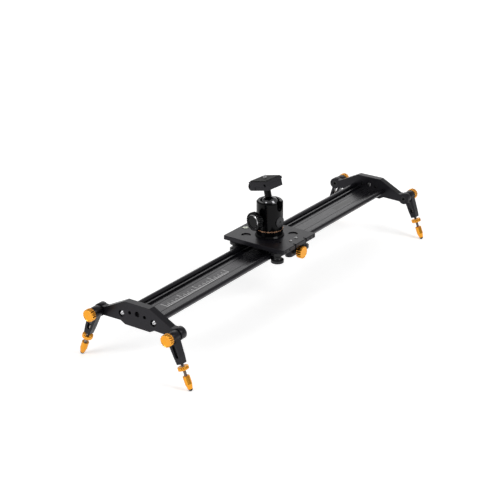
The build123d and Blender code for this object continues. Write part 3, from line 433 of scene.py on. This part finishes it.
WHEEL_BORE = 5.06
WHEEL_GROOVE = 4.5
BEAD_DISTANCE = 11.2
WHEEL_EDGE = 0.5
WHEEL_GROOVE_STEPS = 12
BRAKE_KNOB_FLUTES = 16
BRAKE_KNOB_FLUTE_DEPTH = 1.2
BRAKE_KNOB_RIM = 1.8
BRAKE_KNOB_SLOPE = 0.5
BRAKE_KNOB_DISH = 0.4
BRAKE_SCREW_POINT = [(0, 0), (2.8, 0), (3.0, 0.3)]
BRAKE_SCREW_SHOULDER = [(3.0, 0), (5.6, 0), (6.0, 0.4)]
BRAKE_SCREW_NECK = [(6.0, -1.2), (5.2, -0.6), (5.2, 0.1), (0, 0.1)]
BRACKET_GAP = 0.1
LEVEL_WALL = 1.0
LEVEL_LIP = 0.3
LEVEL_INNER_LIP = 0.15
LEVEL_GAP = 0.05
LIQUID_DROP, LIQUID_RISE = 0.9, 0.7
BUBBLE_RADIUS = 1.5
BUBBLE_DEPTH, BUBBLE_HALF = 0.5, 0.22
BUBBLE_ANGLES = (30, 60, 90, 120, 150)
BUBBLE_COUNT = 32
# The window's rim: from the cup's inner wall, and from its top.
WINDOW = [(-0.1, -0.2), (-0.1, -0.12)]
WINDOW_CROWN_SHARE, WINDOW_CROWN = 0.6, 0.02


def wheel(corner):
    """A wheel with a round groove, softened flange edges and flat faces."""
    node = f"wheel_{corner}"
    low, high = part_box(node)
    radius = (high.x - low.x) / 2 / MM
    half = (high.z - low.z) / 2 / MM
    edge = WHEEL_EDGE
    half_mouth = math.sqrt(WHEEL_GROOVE ** 2 - (BEAD_DISTANCE - radius) ** 2)
    profile = [(WHEEL_BORE, -half), (radius - edge, -half), (radius, edge - half),
               (radius, -half_mouth)]
    start = math.asin(half_mouth / WHEEL_GROOVE)
    for step in range(1, WHEEL_GROOVE_STEPS):
        angle = -start + 2 * start * step / WHEEL_GROOVE_STEPS
        profile.append((BEAD_DISTANCE - WHEEL_GROOVE * math.cos(angle),
                        WHEEL_GROOVE * math.sin(angle)))
    profile += [(radius, half_mouth), (radius, half - edge), (radius - edge, half),
                (WHEEL_BORE, half)]
    add_piece(f"roller_{corner}", *lathe(profile, closed=True), ACETAL, node,
              "wheel_plastic", [node], joint_place(f"wheel_spin_{corner}"))


def brake_knob():
    """The gold knob, and the dark screw that runs from it through the bracket."""
    low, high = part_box("brake_knob")
    place = joint_place("brake_turn", outward=-1.0)
    radius = (high.x - low.x) / 2 / MM
    length = (place.translation.y - low.y) / MM
    profile = [(0, 0)] + knob_profile(radius, 0, length, KNOB_EDGE)
    profile += dished_face(radius, length, BRAKE_KNOB_RIM, BRAKE_KNOB_SLOPE, BRAKE_KNOB_DISH)
    profile.append((0, length - BRAKE_KNOB_DISH))
    cut = flutes(BRAKE_KNOB_FLUTES, BRAKE_KNOB_FLUTE_DEPTH)
    shape = lathe(profile, BRAKE_KNOB_FLUTES * KNOB_STEPS, cut)
    add_piece("brake_knob_rim", *shape, GOLD, "brake_knob", "gold_anodised", ["brake_knob"], place)
    inner = (place.translation.y - high.y) / MM
    collar = (place.translation.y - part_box("brake_bracket")[0].y) / MM + BRACKET_GAP
    stem = raised(BRAKE_SCREW_POINT, inner) + raised(BRAKE_SCREW_SHOULDER, collar)
    stem += BRAKE_SCREW_NECK
    add_piece("brake_screw", *lathe(stem, TURN_COUNT), BLACK_STEEL, "brake_knob", "black_steel",
              [], place)


def bubble_level():
    """A cup with a rounded lip, tinted liquid, a bubble and a clear lens."""
    low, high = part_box("level_body")
    centre = (low + high) / 2
    place = standing((centre.x, centre.y, low.z), (0, 0, 1))
    radius = (high.x - low.x) / 2 / MM
    height = (high.z - low.z) / MM
    inner = radius - LEVEL_WALL
    cup = [(0, 0), (radius, 0), (radius, height - LEVEL_LIP), (radius - LEVEL_LIP, height),
           (inner + LEVEL_INNER_LIP, height), (inner, height - LEVEL_INNER_LIP),
           (inner, LEVEL_WALL), (0, LEVEL_WALL)]
    add_piece("level_cup", *lathe(cup, TURN_COUNT), ACETAL, "carriage", "level_cup",
              ["level_body"], place)
    floor, side = LEVEL_WALL + LEVEL_GAP, inner - LEVEL_GAP
    fill = [(0, floor), (side, floor), (side, height - LIQUID_DROP), (0, height - LIQUID_RISE)]
    add_piece("level_liquid", *lathe(fill, TURN_COUNT), LIQUID, "carriage", "level_lens",
              ["level_lens"], place)
    middle = height - BUBBLE_DEPTH
    bubble = [(0, middle - BUBBLE_HALF)]
    for angle in BUBBLE_ANGLES:
        turn = math.radians(angle)
        bubble.append((BUBBLE_RADIUS * math.sin(turn), middle - BUBBLE_HALF * math.cos(turn)))
    bubble.append((0, middle + BUBBLE_HALF))
    add_piece("level_bubble", *lathe(bubble, BUBBLE_COUNT), CLEAR, "carriage", "level_lens", [],
              place)
    rim = [(inner + inset, height + level) for inset, level in WINDOW]
    lens = [(0, rim[0][1]), *rim, (inner * WINDOW_CROWN_SHARE, height - WINDOW_CROWN), (0, height)]
    add_piece("level_window", *lathe(lens, TURN_COUNT), CLEAR, "carriage", "level_lens", [], place)


for corner in CORNERS:
    wheel(corner)
brake_knob()
bubble_level()


# Ball head ---------------------------------------------------------------------------------

# Heights of a knob's outline run out along its joint, from the joint's place.
MAIN_LOCK_FLUTES = 26
MAIN_LOCK_FLUTE_DEPTH = 0.7
STEM_START = -14.0
COLLAR_START = -5.3
LOCK_GRIP_START = 2.2
LOCK_STEM = [(0, STEM_START), (4.0, STEM_START), (4.0, COLLAR_START)]
LOCK_COLLAR = [
    (8.6, COLLAR_START), (9.0, COLLAR_START + 0.4), (9.0, -0.6), (12.5, 0), (13.4, 0.7),
    (13.4, LOCK_GRIP_START),
]
LOCK_DISC = 10.5
LOCK_RADIUS = 16.0
LOCK_EDGE = 0.9
LOCK_RIM = 2.4
LOCK_SLOPE = 0.4
LOCK_DISH = 0.5
LOCK_RING = [
    (LOCK_RADIUS - 5.2, LOCK_DISC - 0.6), (LOCK_RADIUS - 4.0, LOCK_DISC - 0.6),
    (LOCK_RADIUS - 4.0, LOCK_DISC - 0.5), (LOCK_RADIUS - 5.2, LOCK_DISC + 0.5),
]
HOUSING_RADIUS = 22.5
CAP_FROM_LOCK_DEG = 98.0
CAP_Z = 131.0
CAP_RADIUS = 9.5
CAP_DISC = [
    (0, -0.3), (CAP_RADIUS, -0.3), (CAP_RADIUS, 0), (CAP_RADIUS - 0.3, 0.15), (2.2, 0.15),
    (2.0, -0.1), (0, -0.1),
]
PAN_LOCK_FLUTES = 14
CLAMP_KNOB_FLUTES = 16
PLAIN_STEM_RADIUS = 2.0
PLAIN_RIM = 1.6
PLAIN_SLOPE = 0.4
PLAIN_DISH = 0.35
CAMERA_HEAD = [(0, 0.06), (6.6, 0.06), (7.0, 0.45), (7.0, 2.1), (6.7, 2.45), (2.9, 2.45),
               (2.9, 11.9), (0, 11.9)]
CAMERA_THREAD_RADIUS = 3.175
CAMERA_THREAD_PITCH = 1.27
CAMERA_THREAD_DEPTH = 0.6
CAMERA_THREAD_LENGTH = 5.0


def main_lock_knob():
    """A stepped knob with a fluted rim and a bright ring let into its face."""
    place = joint_place("main_lock_turn")
    rim = knob_profile(LOCK_RADIUS, LOCK_GRIP_START, LOCK_DISC, LOCK_EDGE)
    profile = LOCK_STEM + LOCK_COLLAR + rim
    profile += dished_face(LOCK_RADIUS, LOCK_DISC, LOCK_RIM, LOCK_SLOPE, LOCK_DISH)
    profile.append((0, LOCK_DISC - LOCK_DISH))
    cut = flutes(MAIN_LOCK_FLUTES, MAIN_LOCK_FLUTE_DEPTH)
    shape = lathe(profile, MAIN_LOCK_FLUTES * KNOB_STEPS, cut)
    add_piece("main_lock_grip", *shape, HEAD_BLACK, "main_lock_knob", "black_anodised",
              ["main_lock_knob"], place)
    add_piece("main_lock_ring", *lathe(LOCK_RING, closed=True), STEEL, "main_lock_knob", "steel",
              [], place)


def side_cap():
    """The textured face of the round cap that closes the housing's cross bore."""
    lock = JOINTS["main_lock_turn"]
    centre = Vector(JOINTS["pan_turn"]["pos_m"])
    outward = Matrix.Rotation(math.radians(CAP_FROM_LOCK_DEG), 3, "Z") @ Vector(lock["axis"])
    face = centre + outward * HOUSING_RADIUS * MM
    face.z = CAP_Z * MM
    add_piece("side_cap_face", *lathe(CAP_DISC, TURN_COUNT), CAP_GREY, "pan_head",
              "black_anodised", [], standing(face, outward))


def plain_knob(name, node, joint, number, depth, stem_start, radius, length):
    """A small fluted knob on a thin round stem."""
    profile = [(0, stem_start), (PLAIN_STEM_RADIUS, stem_start), (PLAIN_STEM_RADIUS, 0)]
    profile += knob_profile(radius, 0, length, KNOB_EDGE)
    profile += dished_face(radius, length, PLAIN_RIM, PLAIN_SLOPE, PLAIN_DISH)
    profile.append((0, length - PLAIN_DISH))
    shape = lathe(profile, number * KNOB_STEPS, flutes(number, depth))
    add_piece(name, *shape, HEAD_BLACK, node, "black_anodised", [node], joint_place(joint))


def camera_screw():
    """A disc head under the plate, a neck, and a quarter-inch thread above it."""
    place = joint_place("camera_screw_turn")
    add_piece("camera_screw_head", *lathe(CAMERA_HEAD, TURN_COUNT), STEEL, "camera_screw",
              "steel", ["camera_screw"], place)
    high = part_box("camera_screw")[1]
    up = place.to_3x3().col[2]
    half_width = CAMERA_THREAD_RADIUS * math.sqrt(max(0.0, 1 - up.z ** 2)) * MM
    tip = (high.z - half_width - place.translation.z) / up.z / MM
    thread = threaded_rod(CAMERA_THREAD_RADIUS, CAMERA_THREAD_PITCH, CAMERA_THREAD_DEPTH,
                          tip - CAMERA_THREAD_LENGTH, tip, count=32, steps=8)
    add_piece("camera_screw_thread", *thread, STEEL, "camera_screw", "steel", [], place,
              sharp=SHARP_THREAD)


main_lock_knob()
side_cap()
plain_knob("pan_lock_grip", "pan_lock_knob", "pan_lock_turn", PAN_LOCK_FLUTES,
           depth=0.55, stem_start=-12.5, radius=5.8, length=11.5)
plain_knob("clamp_grip", "clamp_knob", "clamp_turn", CLAMP_KNOB_FLUTES,
           depth=0.65, stem_start=-30.5, radius=8.0, length=12.0)
camera_screw()


# Printing on the rail ------------------------------------------------------------------------

CHANNEL_FLOOR_Z = 82.4
INK_THICKNESS = 0.04
SCALE_START, SCALE_STOP, SCALE_STEP = -285, -125, 5
SCALE_BASE_Y = -7.0
SCALE_LINE = 0.8
LONG_EVERY, MIDDLE_EVERY = 8, 2
LONG_TICK, MIDDLE_TICK, SHORT_TICK = 14.0, 8.0, 4.5
LABEL_PLACE = (214, -4.5, 276, 4.5)
BOX_FACES = ((3, 2, 1, 0), (4, 5, 6, 7), (0, 1, 5, 4), (1, 2, 6, 5), (2, 3, 7, 6), (3, 0, 4, 7))


def slab(points, faces, low, high):
    """Adds a thin printed rectangle, as a closed box, to the lists."""
    start = len(points)
    for z in (low[2], high[2]):
        points += [(low[0], low[1], z), (high[0], low[1], z), (high[0], high[1], z),
                   (low[0], high[1], z)]
    for quad in BOX_FACES:
        faces.append(tuple(start + corner for corner in quad))


def printed(name, rectangles, finish, slot):
    """Thin printed rectangles on the rail's channel floor."""
    points = []
    faces = []
    for x0, y0, x1, y1 in rectangles:
        low = (x0 * MM, y0 * MM, CHANNEL_FLOOR_Z * MM)
        high = (x1 * MM, y1 * MM, (CHANNEL_FLOOR_Z + INK_THICKNESS) * MM)
        slab(points, faces, low, high)
    add_piece(name, points, faces, finish, "rail_frame", slot)


def rail_scale():
    """Graduation ticks where the carriage's place is read, with no lettering."""
    half = SCALE_LINE / 2
    marks = [(SCALE_START - half, SCALE_BASE_Y - SCALE_LINE, SCALE_STOP + half, SCALE_BASE_Y)]
    for count, place in enumerate(range(SCALE_START, SCALE_STOP + 1, SCALE_STEP)):
        if count % LONG_EVERY == 0:
            length = LONG_TICK
        elif count % MIDDLE_EVERY == 0:
            length = MIDDLE_TICK
        else:
            length = SHORT_TICK
        marks.append((place - half, SCALE_BASE_Y, place + half, SCALE_BASE_Y + length))
    printed("rail_scale", marks, INK, "nylon")


rail_scale()
printed("blank_label", [LABEL_PLACE], LABEL, "black_anodised")


# Softened edges on the CAD nodes -------------------------------------------------------------

WELD_REACH = 0.005 * MM
FLAT_DEG = 0.4
SHARP_DEG = 35
BEVEL_SEGMENTS = 2


def soften(node, width):
    """Rounds a CAD node's sharp edges slightly, with modifiers only."""
    item = frame["nodes"][node]
    weld = item.modifiers.new("weld", "WELD")
    weld.merge_threshold = WELD_REACH
    flat = item.modifiers.new("flat", "DECIMATE")
    flat.decimate_type = "DISSOLVE"
    flat.angle_limit = math.radians(FLAT_DEG)
    bevel = item.modifiers.new("bevel", "BEVEL")
    bevel.width = width
    bevel.segments = BEVEL_SEGMENTS
    bevel.limit_method = "ANGLE"
    bevel.angle_limit = math.radians(SHARP_DEG)
    bevel.harden_normals = True


END_PLATE_EDGE = 0.5 * MM
SMALL_PART_EDGE = 0.4 * MM
LEG_EDGE = 0.6 * MM

for node_name in ("end_plate_left", "end_plate_right"):
    soften(node_name, END_PLATE_EDGE)
for node_name in ("brake_bracket", "clamp_body", "clamp_jaw", "quick_release_plate"):
    soften(node_name, SMALL_PART_EDGE)
for corner in CORNERS:
    soften(f"leg_arm_{corner}", LEG_EDGE)


# Stage, lights and camera ------------------------------------------------------------------

FLOOR_HALF = 14.0
FLOOR_GLOW = 0.4
WORLD_STRENGTH = 0.4
# name, place, target and size in metres, power in watts
LIGHTS = [
    ("key", (0.2, -2.2, 1.9), (0, 0, 0.08), (1.2, 1.6), 34),
    ("fill", (-2.2, 0.9, 1.3), (0, 0, 0.08), (1.0, 1.4), 22),
    ("behind", (2.6, 1.8, 1.5), (0, 0, 0.1), (3.6, 1.8), 22),
]
CAMERA_PLACE = (-1.73022, -1.16237, 0.95500)
CAMERA_BACK = (-0.75714, -0.52502, 0.38871)
CAMERA_UP = (0.31844, 0.22293, 0.92136)
SENSOR_WIDTH = 36.0
LENS = 96.0
CLIP_START = 0.05


def floor():
    size = FLOOR_HALF
    mesh = bpy.data.meshes.new("floor")
    corners = [(-size, -size, 0), (size, -size, 0), (size, size, 0), (-size, size, 0)]
    mesh.from_pydata(corners, [], [(0, 1, 2, 3)])
    plane = bpy.data.objects.new("floor", mesh)
    bpy.context.scene.collection.objects.link(plane)
    paper = surface("floor_paper", (0.93, 0.93, 0.93), (0.95, 0.95, 0.95), (0.85, 0.95),
                    grain=300.0, grain_depth=0.01 * MM)
    shader = paper.node_tree.nodes["Principled BSDF"]
    shader.inputs["Emission Color"].default_value = (1.0, 1.0, 1.0, 1.0)
    shader.inputs["Emission Strength"].default_value = FLOOR_GLOW
    mesh.materials.append(paper)


def area_light(name, place, target, size, power):
    data = bpy.data.lights.new(name, "AREA")
    data.shape = "RECTANGLE"
    data.size, data.size_y = size
    data.energy = power
    light = bpy.data.objects.new(name, data)
    bpy.context.scene.collection.objects.link(light)
    light.location = place
    direction = Vector(target) - Vector(place)
    light.rotation_euler = direction.to_track_quat("-Z", "Y").to_euler()


def studio():
    world = bpy.data.worlds.new("studio")
    bpy.context.scene.world = world
    world.use_nodes = True
    backdrop = world.node_tree.nodes["Background"]
    backdrop.inputs["Color"].default_value = (1.0, 1.0, 1.0, 1.0)
    backdrop.inputs["Strength"].default_value = WORLD_STRENGTH
    for light in LIGHTS:
        area_light(*light)
    bpy.context.scene.view_settings.view_transform = "Standard"


def camera():
    data = bpy.data.cameras.new("camera")
    data.sensor_width = SENSOR_WIDTH
    data.lens = LENS
    data.clip_start = CLIP_START
    lens = bpy.data.objects.new("camera", data)
    bpy.context.scene.collection.objects.link(lens)
    back = Vector(CAMERA_BACK)
    up = Vector(CAMERA_UP)
    right = up.cross(back).normalized()
    up = back.cross(right)
    place = Matrix((right, up, back)).transposed().to_4x4()
    place.translation = CAMERA_PLACE
    lens.matrix_world = place
    bpy.context.scene.camera = lens


floor()
studio()
camera()
